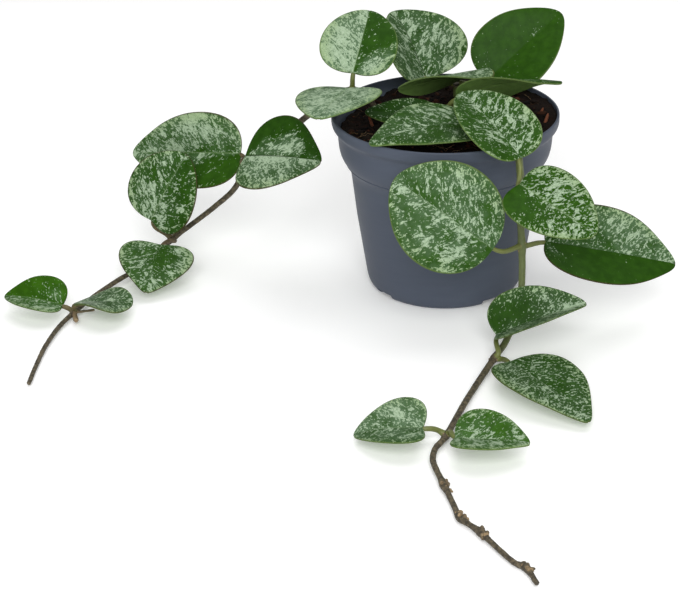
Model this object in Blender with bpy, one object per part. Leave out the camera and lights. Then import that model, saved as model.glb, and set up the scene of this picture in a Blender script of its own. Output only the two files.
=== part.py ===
"""Potted hoya: a trailing house plant with splashed, heart-shaped leaves in a moulded nursery pot.

Tables are in millimetres and degrees; MM turns them into Blender's metres. The pot's axis is +Z,
its flat underside lies on z = 0 and its front faces -Y. Two long vines hang over the rim and run
out along the surface that the pot stands on; three short shoots stand in the pot.
"""
import math
from collections import namedtuple

import bmesh
import bpy
from mathutils import Vector, noise

MM = 0.001
GAP = 0.35                     # clearance between neighbouring solids

# Pot -------------------------------------------------------------------------------------------
POT_HEIGHT = 97.0
RIM_RADIUS = 60.0
BASE_RADIUS = 38.0
WALL = 1.2
FLOOR = 1.6
POT_SIDES = 40
POT_OUTSIDE = [                # (radius, height) from the underside to the rim
    (0, 0), (BASE_RADIUS, 0), (40.4, 1.4), (42.0, 4.6), (43.8, 16.7), (47.3, 40.5), (50.0, 65.0),
    (51.1, 68.6), (53.7, 72.4), (55.2, 75.2), (56.2, 79.0), (56.8, 87.5), (57.8, 89.5),
    (59.5, 91.2), (RIM_RADIUS, 93.0), (RIM_RADIUS, 96.5), (59.7, POT_HEIGHT)]
DRAIN_ANGLES = [38, 128, 218, 308]
DRAIN_WIDTH = 12.0
DRAIN_HEIGHT = 3.6
DRAIN_REACH = (34.0, 48.0)     # radial reach of a drain notch

# Soil ------------------------------------------------------------------------------------------
SOIL_EDGE_HEIGHT = 87.0
SOIL_HEAP = 6.0                # extra height at the back right, where the soil is heaped
SOIL_SLOPE_LENGTH = 30.0       # distance over which the heap rises
SOIL_ROUGHNESS = 1.3
SOIL_LUMP = 7.0                # size of the surface's lumps, and of the crumbs on them
SOIL_CRUMB = 3.0
SOIL_SEED = 22.0               # picks the pattern of the lumps
SOIL_EDGE_RADIUS = 55.25       # where the surface meets the pot's wall
SOIL_RINGS = [48.0, 40.0, 32.0, 24.0, 16.0, 8.0]
STEM_HOLE_REACH = 16.0         # how far a stem's hole is cut past the surface

# Stems -----------------------------------------------------------------------------------------
STEM_SIDES = 8
ROUTE_STEP = 8.0               # distance between the points of a stem's spline
ROUTE_SAMPLES = 24             # fine points between two route points, from which those are taken
NODE_SWELLING = 0.35           # share by which a stem is thicker at a leaf node or a knot
NODE_REACH = 6.4               # length over which that swelling fades

# A stem starts at the foot of its hole in the soil; nodes and knots are places in its route.

Stem = namedtuple("Stem", "name start_radius end_radius route nodes knots")
STEMS = [
    Stem("left_vine_stem", 1.9, 1.15, [
        (-38, 13, 72), (-38, 13, 94), (-43, 8, 103), (-49, 2, 108), (-62, 1, 104),
        (-75, 12, 89), (-91, 22, 73), (-109, 27, 57), (-116, 25, 43), (-129, 24, 31),
        (-142, 26, 20), (-153, 24, 12), (-168, 5, 4.5), (-180, -13, 3), (-190, -34, 3),
        (-196, -50, 3), (-201, -66, 2.6), (-204, -86, 2.4), (-205, -106, 2), (-205, -126, 1.8)],
         [3, 7, 11, 15], []),
    Stem("right_vine_stem", 2.1, 1.2, [
        (33, -23, 72), (33, -23, 86), (33, -24, 97), (34, -33, 103), (35, -44, 103), (35.5, -54, 101),
        (37, -60, 92), (38, -62, 79), (38, -63, 65), (39, -65, 49), (39, -70, 29), (36, -78, 15),
        (31, -87, 6), (25, -101, 4), (12, -139, 3.4), (1, -177, 3.4), (-4, -188, 3),
        (-5, -198, 3), (-3, -208, 2.8), (0, -219, 2.6), (4, -234, 2.4), (7, -245, 2.4),
        (13, -253, 2.4), (16, -257, 2.4), (22, -267, 2), (29, -278, 1.9), (34, -282, 1.9),
        (38, -293, 1.9)],
         [7, 9, 13, 15], [19, 21, 23, 26]),
    Stem("back_shoot_stem", 1.8, 1.6, [(6, 38, 72), (6, 38, 95), (6, 38, 97), (6, 38, 99)],
         [3], []),
    Stem("middle_shoot_stem", 1.7, 1.5, [(-3, 5, 72), (-3, 5, 92), (-2.5, 5, 95), (-2, 5, 97)],
         [3], []),
    Stem("front_shoot_stem", 1.7, 1.5, [(21, -11, 70), (21, -11, 93), (20, -12, 95), (19, -13, 97)],
         [3], []),
]

# Leaves ----------------------------------------------------------------------------------------
LEAF_ROWS = 12
LEAF_COLUMNS = 6
THICKNESS_MIDDLE = 1.5
THICKNESS_MARGIN = 0.9
BEAK_POWER = 12                # how short the curve is that draws the tip out
BEAK_PINCH = 2.2               # how much a pointed tip narrows the blade before it
CREASE = 0.05                  # roundness of the fold along the midrib, per width
PETIOLE_RADIUS = 1.35
PETIOLE_SIDES = 6
PETIOLE_STEPS = 7
PETIOLE_PULL = 0.4             # how straight it leaves the stem and meets the leaf
PETIOLE_TAPER = 0.25
PETIOLE_GAP = 0.55             # clearance between the stem and the petiole's foot
PETIOLE_SINK = 5.0             # length of petiole that runs on into the blade

# leave is the direction in which the petiole leaves the stem (None: straight to the leaf), roll
# turns the blade about its midrib (0 has the upper face as level as it can be), lobe is how far
# the heart's lobes reach back past the petiole, per length, shoulder is how much wider the leaf is
# near its petiole, and beak is the share of its length that is the pointed tip.
Leaf = namedtuple("Leaf", "name stem node leave base tip width lobe shoulder beak roll fold bend twist")
LEAVES = [
    Leaf("left_vine_leaf_1", 0, 3, None, (-48, -1, 119), (-40, 29, 143), 42, 0.18, 0.1, 0.04, -10, 14, 8, 0),
    Leaf("left_vine_leaf_2", 0, 3, (-1, -3, 1), (-50, -6, 112), (-64, -42, 109), 46, 0.16, 0.15, 0.06, -6, 4, 10, 0),
    Leaf("left_vine_leaf_3", 0, 7, (1, -2, 0), (-107, 4, 70), (-65, -16, 75), 51, 0.1, 0.04, 0.13, -32, 10, 20, 0),
    Leaf("left_vine_leaf_4", 0, 7, (-1, 1, 0), (-113, 31, 61), (-177, 55, 52), 48, 0.16, 0.15, 0.12, 61, 28, 11, 0),
    Leaf("left_vine_leaf_5", 0, 11, (-2, 0, 1), (-163, 19, 26), (-141.5, 23, 63.5), 46, 0.18, 0.02, 0.05, -48, 8, 14, 0),
    Leaf("left_vine_leaf_6", 0, 11, (1, -3, 0), (-156, 3, 18), (-160, -32, 6), 41, 0.16, 0.15, 0.12, 8, 6, 10, 0),
    Leaf("left_vine_leaf_7", 0, 15, None, (-195, -52, 9), (-164, -50, 9), 32, 0.0, -0.25, 0.06, 7, 6, 10, 34),
    Leaf("left_vine_leaf_8", 0, 15, None, (-202, -50, 7), (-234, -43, 9), 29, 0.16, 0.15, 0.1, 19, 28, 24, 0),
    Leaf("right_vine_leaf_1", 1, 7, (-1, -2, 0), (37, -65, 97), (8, -24, 116), 40, 0.14, 0.15, 0.05, 9, 20, 14, 0),
    Leaf("right_vine_leaf_2", 1, 7, (2, -1, 0), (37, -73, 86), (72, -107, 74), 38, 0.18, 0.1, 0.07, -29, 7, 4, 0),
    Leaf("right_vine_leaf_3", 1, 9, None, (24, -78, 53), (-25, -73, 89), 56, 0.02, 0.0, 0.05, 66, 10, 10, 0),
    Leaf("right_vine_leaf_4", 1, 9, None, (51, -62, 50), (119, -46, 30), 47, 0.14, 0.02, 0.12, -50, 28, 10, 0),
    Leaf("right_vine_leaf_5", 1, 13, (1, 0, 1), (26, -89, 11), (71, -84, 26), 39, 0.18, 0.15, 0.09, -24, 46, 10, 0),
    Leaf("right_vine_leaf_6", 1, 13, (1, 0, 0), (32, -113, 8), (67.5, -166.5, 5), 41, 0.06, 0.1, 0.12, 0, 12, 16, 0),
    Leaf("right_vine_leaf_7", 1, 15, None, (-10, -180, 9), (-42, -178, 4), 36, 0.26, 0.15, 0.1, 8, 18, 20, 0),
    Leaf("right_vine_leaf_8", 1, 15, (1, 0, 1), (5, -187, 8), (39, -193, 9), 37, 0.18, 0.15, 0.09, -2, 20, 4, 0),
    Leaf("back_shoot_leaf_1", 2, 3, None, (-11, 40, 101), (-28, 57, 134), 65, 0.12, 0.15, 0.06, -4, 24, 14, 0),
    Leaf("back_shoot_leaf_2", 2, 3, None, (23, 40, 100), (63, 58, 132), 47, 0.1, 0.15, 0.07, -38, 18, 6, 0),
    Leaf("middle_shoot_leaf_1", 3, 3, None, (24, 24, 112), (-25, 12, 105), 40, 0.1, 0.15, 0.08, -30, -10, 10, 40),
    Leaf("middle_shoot_leaf_2", 3, 3, None, (6, -2, 106), (61, 0, 113), 38, 0.08, 0.0, 0.08, 34, -8, 30, 44),
    Leaf("front_shoot_leaf_1", 4, 3, None, (15, -23, 99), (-38, -50, 98), 47, 0.12, 0.15, 0.14, 6, 6, 24, 0),
    Leaf("front_shoot_leaf_2", 4, 3, (-1, 1, 0), (-4, -9, 96), (-42, -3, 98), 24, 0.12, 0.15, 0.08, 20, 10, 10, 0),
]

COLOURS = {
    "pot": ((0.085, 0.095, 0.125), 0.5),
    "soil": ((0.012, 0.008, 0.006), 0.95),
    "stem": ((0.12, 0.13, 0.05), 0.6),
    "leaf": ((0.05, 0.13, 0.035), 0.35),
}


# Helpers ---------------------------------------------------------------------------------------
def clear_scene():
    for item in list(bpy.data.objects):
        bpy.data.objects.remove(item, do_unlink=True)


def make_material(name, kind):
    colour, roughness = COLOURS[kind]
    material = bpy.data.materials.new(name)
    material.use_nodes = True
    shader = material.node_tree.nodes["Principled BSDF"]
    shader.inputs["Base Color"].default_value = (*colour, 1.0)
    shader.inputs["Roughness"].default_value = roughness
    shader.inputs["Metallic"].default_value = 0.0
    return material


def add_object(name, data, kind=None):
    item = bpy.data.objects.new(name, data)
    bpy.context.collection.objects.link(item)
    if kind:
        data.materials.clear()
        data.materials.append(make_material(name + "_finish", kind))
    return item


def add_mesh(name, build, kind=None, sharp_degrees=40):
    """Make an object from a bmesh that build() fills in."""
    mesh = bpy.data.meshes.new(name)
    form = bmesh.new()
    build(form)
    bmesh.ops.recalc_face_normals(form, faces=form.faces)
    form.to_mesh(mesh)
    form.free()
    mesh.shade_smooth()
    mesh.set_sharp_from_angle(angle=math.radians(sharp_degrees))
    return add_object(name, mesh, kind)


def apply_modifiers(item):
    """The mesh that an object's modifiers make of it."""
    graph = bpy.context.evaluated_depsgraph_get()
    return bpy.data.meshes.new_from_object(item.evaluated_get(graph))


def combine(target, tools, operation):
    """Apply one Boolean of a collection of tools to the target, and remove the tools."""
    group = bpy.data.collections.new(target.name + "_tools")
    bpy.context.scene.collection.children.link(group)
    for tool in tools:
        bpy.context.collection.objects.unlink(tool)
        group.objects.link(tool)
    change = target.modifiers.new("combine", "BOOLEAN")
    change.operation = operation
    change.operand_type = "COLLECTION"
    change.collection = group
    change.solver = "EXACT"
    target.data = apply_modifiers(target)
    target.modifiers.clear()
    for tool in tools:
        bpy.data.objects.remove(tool, do_unlink=True)
    bpy.data.collections.remove(group)


def turned(form, profile, sides):
    """Turn a profile of (radius, height) points, whose ends lie on the axis, about Z."""
    points = [form.verts.new((radius * MM, 0, height * MM)) for radius, height in profile]
    edges = [form.edges.new(pair) for pair in zip(points, points[1:])]
    bmesh.ops.spin(form, geom=points + edges, cent=(0, 0, 0), axis=(0, 0, 1),
                   angle=2 * math.pi, steps=sides, use_merge=True)
    bmesh.ops.remove_doubles(form, verts=form.verts, dist=1e-6)


def tube(name, points, radii, sides, kind=None):
    """A closed round tube through points, with a radius at each of them."""
    points = [Vector(point) for point in points]

    def sweep(form):
        rings = []
        lean = Vector((0.3, 1.0, 0.2))
        for index, (point, radius) in enumerate(zip(points, radii)):
            ahead = points[min(index + 1, len(points) - 1)]
            behind = points[max(index - 1, 0)]
            tangent = (ahead - behind).normalized()
            lean = (lean - tangent * lean.dot(tangent)).normalized()
            across = tangent.cross(lean)
            turns = [2 * math.pi * side / sides for side in range(sides)]
            rings.append([form.verts.new((point + (lean * math.cos(turn) + across * math.sin(turn))
                                          * radius) * MM) for turn in turns])
        for ring, beyond in zip(rings, rings[1:]):
            for side in range(sides):
                after = (side + 1) % sides
                form.faces.new((ring[side], ring[after], beyond[after], beyond[side]))
        form.faces.new(reversed(rings[0]))
        form.faces.new(rings[-1])
    return add_mesh(name, sweep, kind, 60)


def smooth_route(route):
    """Close-set points on a Catmull-Rom curve through the route's points."""
    knots = [Vector(point) for point in route]
    knots = [2 * knots[0] - knots[1]] + knots + [2 * knots[-1] - knots[-2]]
    points = []
    for before, here, after, beyond in zip(knots, knots[1:], knots[2:], knots[3:]):
        for step in range(ROUTE_SAMPLES):
            t = step / ROUTE_SAMPLES
            points.append(0.5 * (2 * here + (after - before) * t
                                 + (2 * before - 5 * here + 4 * after - beyond) * t * t
                                 + (3 * here - before - 3 * after + beyond) * t ** 3))
    return points + [knots[-2]]


def along(points):
    """Distance along a line of points, up to each of them."""
    lengths = [0.0]
    for here, after in zip(points, points[1:]):
        lengths.append(lengths[-1] + (after - here).length)
    return lengths


# Pot and soil ----------------------------------------------------------------------------------
def pot_inside():
    """The pot's inner profile: the outer one moved in by the wall, down to the floor."""
    wall = [(radius - WALL, height) for radius, height in POT_OUTSIDE if height > 4.0]
    wall[-1] = (RIM_RADIUS - WALL, POT_HEIGHT)
    return wall


def build_pot():
    inside = [(radius, height) for radius, height in reversed(pot_inside())]
    inside += [(BASE_RADIUS - WALL, FLOOR), (0, FLOOR)]
    pot = add_mesh("nursery_pot", lambda form: turned(form, POT_OUTSIDE + inside, POT_SIDES), "pot")
    notches = []
    inner, outer = DRAIN_REACH

    def block(form):
        bmesh.ops.create_cube(form, size=MM)
        bmesh.ops.scale(form, verts=form.verts, vec=(outer - inner, DRAIN_WIDTH, 2 * DRAIN_HEIGHT))
        bmesh.ops.translate(form, verts=form.verts, vec=((inner + outer) / 2 * MM, 0, 0))

    for degrees in DRAIN_ANGLES:
        notch = add_mesh("notch", block)
        notch.rotation_euler.z = math.radians(degrees)
        notches.append(notch)
    combine(pot, notches, "DIFFERENCE")
    return pot


def soil_height(x, y):
    """Height of the soil surface: heaped at the back right, with a seeded roughness."""
    heap = 0.5 + 0.5 * math.tanh((x + 0.6 * y) / SOIL_SLOPE_LENGTH)
    place = Vector((x, y, SOIL_SEED))
    rough = noise.noise(place / SOIL_LUMP) + 0.5 * noise.noise(place / SOIL_CRUMB)
    return SOIL_EDGE_HEIGHT + SOIL_HEAP * heap + SOIL_ROUGHNESS * rough


def build_soil():
    top = SOIL_EDGE_HEIGHT
    side = [(radius - GAP, height) for radius, height in pot_inside() if height < top - 1.0]
    surface = [(radius, top) for radius in [SOIL_EDGE_RADIUS] + SOIL_RINGS + [0]]
    profile = [(0, FLOOR + GAP), (BASE_RADIUS - 2 * WALL, FLOOR + GAP)] + side + surface

    def heap(form):
        turned(form, profile, POT_SIDES)
        for vertex in form.verts:
            x, y, z = vertex.co / MM
            if z > top - 0.5:
                vertex.co.z = soil_height(x, y) * MM
    return add_mesh("potting_soil", heap, "soil")


def cut_stem_holes(soil):
    """Plain round holes, in which the stems stand with a small clearance."""
    holes = []
    for stem in STEMS:
        foot = Vector(stem.route[0])
        top = Vector(stem.route[1])
        lean = (top - foot).normalized()
        radius = (stem.start_radius + GAP) / math.cos(math.pi / STEM_SIDES)
        ends = [foot - lean * 2 * GAP, top + lean * STEM_HOLE_REACH]
        holes.append(tube(stem.name + "_hole", ends, [radius, radius], STEM_SIDES))
    combine(soil, holes, "DIFFERENCE")


# Stems -----------------------------------------------------------------------------------------
def stem_line(stem):
    """Points on a stem's smooth route, one of them at each node and knot, with their radii."""
    fine = smooth_route(stem.route)
    lengths = along(fine)
    total = lengths[-1]
    thick = [nearest_length(fine, lengths, stem.route[index]) for index in stem.nodes + stem.knots]
    marks = sorted({0.0, *thick, total})
    places = [0.0]
    for start, end in zip(marks, marks[1:]):
        count = max(1, round((end - start) / ROUTE_STEP))
        places += [start + (end - start) * step / count for step in range(1, count + 1)]
    points = []
    radii = []
    for place in places:
        points.append(point_at(fine, lengths, place))
        radius = stem.start_radius + (stem.end_radius - stem.start_radius) * place / total
        for swelling in thick:
            near = max(0.0, 1.0 - abs(place - swelling) / NODE_REACH)
            radius *= 1.0 + NODE_SWELLING * near
        radii.append(radius)
    return points, radii


def nearest_length(fine, lengths, target):
    """How far along the line its nearest point to the target lies."""
    target = Vector(target)
    return min(zip(fine, lengths), key=lambda pair: (pair[0] - target).length)[1]


def point_at(fine, lengths, place):
    """The line's point at a distance along it."""
    for index in range(1, len(lengths)):
        if lengths[index] >= place:
            share = (place - lengths[index - 1]) / (lengths[index] - lengths[index - 1])
            return fine[index - 1].lerp(fine[index], share)
    return fine[-1]


def build_stem(stem):
    points, radii = stem_line(stem)
    return tube(stem.name, points, radii, STEM_SIDES, "stem")


# Leaves ----------------------------------------------------------------------------------------
def leaf_frame(leaf):
    """Axes of a leaf: along its midrib, across it, and out of its upper face; and its length."""
    along_axis = Vector(leaf.tip) - Vector(leaf.base)
    length = along_axis.length
    along_axis.normalize()
    up = (Vector((0, 0, 1)) - along_axis * along_axis.z).normalized()
    side = up.cross(along_axis)
    roll = math.radians(leaf.roll)
    face = up * math.cos(roll) + side * math.sin(roll)
    return along_axis, face.cross(along_axis), face, length


def outline_point(leaf, length, turn):
    """A point of the flat half outline, from the petiole (turn 0) round to the tip (turn pi)."""
    share = (1 - math.cos(turn)) / 2
    lobe = leaf.lobe * math.sin(turn) * (1 + math.cos(turn)) / 2
    x = length * ((share - lobe) * (1 - leaf.beak) + leaf.beak * share ** BEAK_POWER)
    y = leaf.width / 2 * math.sin(turn) * (1 + leaf.shoulder * math.cos(turn))
    return x, y * (1 - BEAK_PINCH * leaf.beak * share ** 8)


def shaped(leaf, length, x, y, lift):
    """Fold, twist and arch a point of the flat blade, then turn its chord back on to the axis."""
    crease = CREASE * leaf.width
    fold = math.radians(leaf.fold)
    rise = math.hypot(y, crease) - crease
    across = y * math.cos(fold)
    up = rise * math.sin(fold) + lift
    twist = math.radians(leaf.twist) * (x / length - 0.5)
    across, up = (across * math.cos(twist) - up * math.sin(twist),
                  across * math.sin(twist) + up * math.cos(twist))
    bend = math.radians(leaf.bend)
    if abs(bend) < 1e-3:
        return x, across, up
    radius = length / bend
    turn = x / radius
    forward = radius * math.sin(turn) + up * math.sin(turn)
    height = radius * math.cos(turn) - radius + up * math.cos(turn)
    chord = Vector((radius * math.sin(bend), radius * math.cos(bend) - radius))
    unit = chord.normalized()
    stretch = length / chord.length
    return ((forward * unit.x + height * unit.y) * stretch, across,
            height * unit.x - forward * unit.y)


def blade(form, leaf):
    """A closed blade: two matching grids of triangles and the thin margin between them."""
    axis, across, face, length = leaf_frame(leaf)
    base = Vector(leaf.base)
    half = LEAF_COLUMNS // 2

    def vertex(row, column, side):
        turn = math.pi * row / LEAF_ROWS
        x_edge, y_edge = outline_point(leaf, length, turn)
        x_middle = length * row / LEAF_ROWS
        share = abs(column - half) / half
        x = x_middle * (1 - share) + x_edge * share
        y = y_edge * share * (1 if column > half else -1)
        thickness = THICKNESS_MARGIN + (THICKNESS_MIDDLE - THICKNESS_MARGIN) * (1 - share ** 2)
        u, v, w = shaped(leaf, length, x, y, side * thickness / 2)
        return form.verts.new((base + axis * u + across * v + face * w) * MM)

    sheets = []
    for side in (1, -1):
        grid = []
        for row in range(LEAF_ROWS + 1):
            if row in (0, LEAF_ROWS):
                grid.append([vertex(row, half, side)] * (LEAF_COLUMNS + 1))
            else:
                grid.append([vertex(row, column, side) for column in range(LEAF_COLUMNS + 1)])
        sheets.append(grid)
    upper, lower = sheets
    for grid in sheets:
        for row in range(LEAF_ROWS):
            for column in range(LEAF_COLUMNS):
                a, b = grid[row][column], grid[row][column + 1]
                c, d = grid[row + 1][column + 1], grid[row + 1][column]
                halves = ((a, b, c), (a, c, d)) if column < half else ((a, b, d), (b, c, d))
                for corners in halves:
                    if len(set(corners)) == 3:
                        form.faces.new(corners)
    for column in (0, LEAF_COLUMNS):
        for row in range(LEAF_ROWS):
            ring = [upper[row][column], upper[row + 1][column],
                    lower[row + 1][column], lower[row][column]]
            form.faces.new(ring[:3])
            form.faces.new((ring[0], ring[2], ring[3]))


def petiole_line(leaf):
    """Points along a petiole, from just off the stem to a little way inside the blade."""
    stem = STEMS[leaf.stem]
    node = Vector(stem.route[leaf.node])
    before = Vector(stem.route[leaf.node - 1])
    after = Vector(stem.route[min(leaf.node + 1, len(stem.route) - 1)])
    tangent = (after - before).normalized()
    axis = leaf_frame(leaf)[0]
    base = Vector(leaf.base)
    away = Vector(leaf.leave) if leaf.leave else base - node
    away -= tangent * away.dot(tangent)
    away.normalize()
    share = leaf.node / (len(stem.route) - 1)
    radius = stem.start_radius + (stem.end_radius - stem.start_radius) * share
    start = node + away * (radius * (1 + NODE_SWELLING) + PETIOLE_GAP)
    sunk = base + axis * PETIOLE_SINK
    pull = PETIOLE_PULL * (base - start).length
    corners = [start, start + away * pull, base - axis * pull, sunk]
    points = []
    for step in range(PETIOLE_STEPS + 1):
        t = step / PETIOLE_STEPS
        weights = ((1 - t) ** 3, 3 * t * (1 - t) ** 2, 3 * t * t * (1 - t), t ** 3)
        points.append(sum((corner * weight for corner, weight in zip(corners, weights)), Vector()))
    return points


def build_leaf(leaf):
    item = add_mesh(leaf.name, lambda form: blade(form, leaf), "leaf", 60)
    shares = [step / PETIOLE_STEPS for step in range(PETIOLE_STEPS + 1)]
    radii = [PETIOLE_RADIUS * (1.0 - PETIOLE_TAPER * share ** 3) for share in shares]
    stalk = tube(leaf.name + "_petiole", petiole_line(leaf), radii, PETIOLE_SIDES)
    combine(item, [stalk], "UNION")
    return item


# The whole plant -------------------------------------------------------------------------------
def main():
    clear_scene()
    build_pot()
    soil = build_soil()
    cut_stem_holes(soil)
    for stem in STEMS:
        build_stem(stem)
    for leaf in LEAVES:
        build_leaf(leaf)


main()
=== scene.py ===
"""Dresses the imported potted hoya: splashed leaves, woody vines, crumbly soil and a moulded pot.

Lengths are in millimetres and angles in degrees, unless a comment says otherwise. Pot, stems and
leaves repeat the CAD source's values, so each fine piece keeps the form of its solid.
"""
import math
import random
from collections import namedtuple

import bmesh
import bpy
import numpy as np
from mathutils import Matrix, Vector, noise


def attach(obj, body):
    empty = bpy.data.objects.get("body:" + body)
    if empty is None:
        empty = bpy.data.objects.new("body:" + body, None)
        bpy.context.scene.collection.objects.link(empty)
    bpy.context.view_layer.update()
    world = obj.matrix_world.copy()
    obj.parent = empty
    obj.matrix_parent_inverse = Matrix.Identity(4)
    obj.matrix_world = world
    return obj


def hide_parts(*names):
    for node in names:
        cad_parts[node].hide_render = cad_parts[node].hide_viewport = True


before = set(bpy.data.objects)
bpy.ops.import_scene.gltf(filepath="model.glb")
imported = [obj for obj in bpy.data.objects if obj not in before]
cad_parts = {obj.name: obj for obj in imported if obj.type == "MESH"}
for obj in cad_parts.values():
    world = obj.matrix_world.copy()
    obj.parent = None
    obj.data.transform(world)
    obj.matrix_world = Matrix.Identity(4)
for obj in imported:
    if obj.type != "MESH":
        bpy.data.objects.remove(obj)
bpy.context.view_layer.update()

MM = 0.001
# Angle between two faces beyond which their edge stays hard, by piece or slot
SHARP_ANGLES = {"pot": 35, "soil": 180, "soil_bits": 50, "stems": 70, "leaves": 75}

# ---- Pot ----
POT_HEIGHT = 97.0
RIM_RADIUS = 60.0
BASE_RADIUS = 38.0
WALL = 1.2
WALL_START = 4.0  # height above which the inside follows the outside
FLOOR = 1.6
POT_SIDES = 144
POT_OUTSIDE = [  # (radius, height) from the underside to the rim
    (0, 0), (BASE_RADIUS, 0), (40.4, 1.4), (42.0, 4.6), (43.8, 16.7), (47.3, 40.5), (50.0, 65.0),
    (51.1, 68.6), (53.7, 72.4), (55.2, 75.2), (56.2, 79.0), (56.8, 87.5), (57.8, 89.5),
    (59.5, 91.2), (RIM_RADIUS, 93.0), (RIM_RADIUS, 96.5), (59.7, POT_HEIGHT)]
CORNER_ROUNDS = 2  # how often the profile's corners are cut, and how far from them
CORNER_SHARE = 0.22
CORNER_LENGTH = 1.2
MOULD_LINE = 71.0  # height of a fine ridge round the pot
MOULD_LINE_SECTION = [(0, -0.35), (0.22, -0.1), (0.22, 0.1), (0, 0.35)]  # (outwards, upwards)
DRAIN_ANGLES = [38, 128, 218, 308]
DRAIN_WIDTH = 12.0
DRAIN_HEIGHT = 3.6
DRAIN_REACH = (34.0, 48.0)  # radial reach of a drain notch

# ---- Soil ----
GAP = 0.35  # clearance between the soil and the pot
SOIL_EDGE_HEIGHT = 87.0
SOIL_HEAP = 6.0  # extra height at the back right, where the soil is heaped
SOIL_HEAP_TURN = 0.6  # how far the heap lies to the back: 0 is right, 1 back right
SOIL_SLOPE_LENGTH = 30.0  # distance over which the heap rises
SOIL_BANK = 2.4  # further rise against the wall, on the heaped side
SOIL_BANK_START = 0.75  # share of the soil's radius where it begins
SOIL_ROUGHNESS = 1.3
SOIL_LUMP = 7.0  # size of the surface's lumps, and of the crumbs on them
SOIL_CRUMB = 3.0
SOIL_SEED = 22.0  # picks the pattern of the lumps
SOIL_EDGE_RADIUS = 55.25
SOIL_EDGE_DEPTH = 1.0  # how far below the surface the side ends
SOIL_SPREAD_POWER = 6  # how close to the wall the surface is spread out to it
SOIL_RING_STEP = 1.2
SOIL_SIDES = 150
RELIEF_SEED = 5.0  # of the fine relief: (height, size) of its two layers
RELIEF = [(0.5, 1.6), (0.35, 0.8)]

BIT_SEED = 20  # of the random draws
BIT_REACH = SOIL_EDGE_RADIUS - 1.0
BIT_COUNT = 900
BIT_SIZE = (0.45, 1.5)  # of the smallest, and what the biggest has more
BIT_SIZE_POWER = 3  # the higher, the fewer are big
BIT_STRETCH = [(0.8, 1.9), (0.6, 1.1), (0.35, 0.8)]  # range of each side, per size
BIT_TILT = 0.7  # in radians
BIT_MARGIN = 1.35  # of its middle from the soil's edge, per longest side
BIT_LIFT = 0.25
BIT_LUMPS = (0.45, 1.3)  # height and fineness of a bit's own relief
BIT_SHADES = (0.6, 1.25)
BIT_TINTS = [
    (0.006, 0.004, 0.003), (0.01, 0.006, 0.004), (0.03, 0.012, 0.006), (0.07, 0.024, 0.012),
    (0.014, 0.009, 0.006), (0.004, 0.003, 0.003), (0.008, 0.005, 0.003)]
CHIPS = [  # bark chips that stand up: (x, y, height, width)
    (-38, 2, 6.5, 1.7), (52, -9, 4.0, 2.0), (50, 3, 3.4, 1.8), (48, -22, 3.0, 2.0)]
CHIP_SINK = 1.0
CHIP_LEAN = (0.35, 0.3)  # furthest to the side and to the back, per height
CHIP_TAPER = [(0, 1.0), (0.4, 1.0), (0.8, 0.8), (1.0, 0.3)]  # (share of height, of width)
CHIP_TINT = (0.19, 0.07, 0.038)
FIBRE_COUNT = 90
FIBRE_POINTS = 7
FIBRE_SIDES = 5  # of a fibre and of a chip
FIBRE_LIFT = (0.6, 1.5)
FIBRE_TURN = 0.5  # in radians, at each point
FIBRE_STEP = (0.8, 1.7)
FIBRE_RADIUS = (0.09, 0.2)
FIBRE_TINTS = [(0.12, 0.07, 0.035), (0.05, 0.03, 0.016), (0.2, 0.14, 0.08)]

# ---- Stems ----
STEM_SIDES = 14
STEM_STEP = 1.1  # distance between the rings of a stem
ROUTE_SAMPLES = 24  # fine points between two route points
NODE_REACH = 6.4  # length over which a node's swelling fades
NODE_POWER = 1.5
NODE_BROWNING = 0.55  # how much older the skin looks at a node
GREEN_END_AGE = 0.3  # age of the skin where the green part ends
AGEING = 5.0  # how fast the skin ages from there, per length of the stem
BARK_RELIEF = 0.14  # height and size of the bark's lumps
BARK_LUMP = 2.2
BARK_RIDGES = 5  # ridges along the stem, their height, and their turn at each ring
BARK_RIDGE = 0.05
BARK_RIDGE_TURN = 0.1

# How much thicker a stem is at a leaf node, and at a knot of the leafless end; and how many buds
# it has there, how spread out, how long and how thick, per the numbers below
Swelling = namedtuple("Swelling", "rise buds spread length girth")
NODE = Swelling(0.35, 3, 1.0, 0.9, 0.6)
KNOT = Swelling(0.6, 11, 1.5, 1.0, 1.0)
BUD_SPREAD = 2.6
BUD_ENDS = (4, 1)  # lengths at the stem's foot and tip that have no buds
BUD_LENGTH = (0.7, 1.9)
BUD_GIRTH = (0.55, 1.15)
BUD_DIP = 0.35  # how far below sideways it may point, in radians
BUD_LEAN = 1.1
BUD_SINK = 0.7
BUD_LIFT = 0.5  # of its middle above the ground, with as much again per girth
BUD_TAPER = [(0, 1.0), (0.3, 1.05), (0.6, 0.95), (0.82, 0.75), (0.95, 0.45), (1.0, 0.12)]
BUD_SIDES = 10  # of a bud and of a stub
KNOT_TANS = (0.05, 0.75)  # how dry a bud looks at a knot, and at a leaf node
NODE_TAN = 0.5

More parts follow.
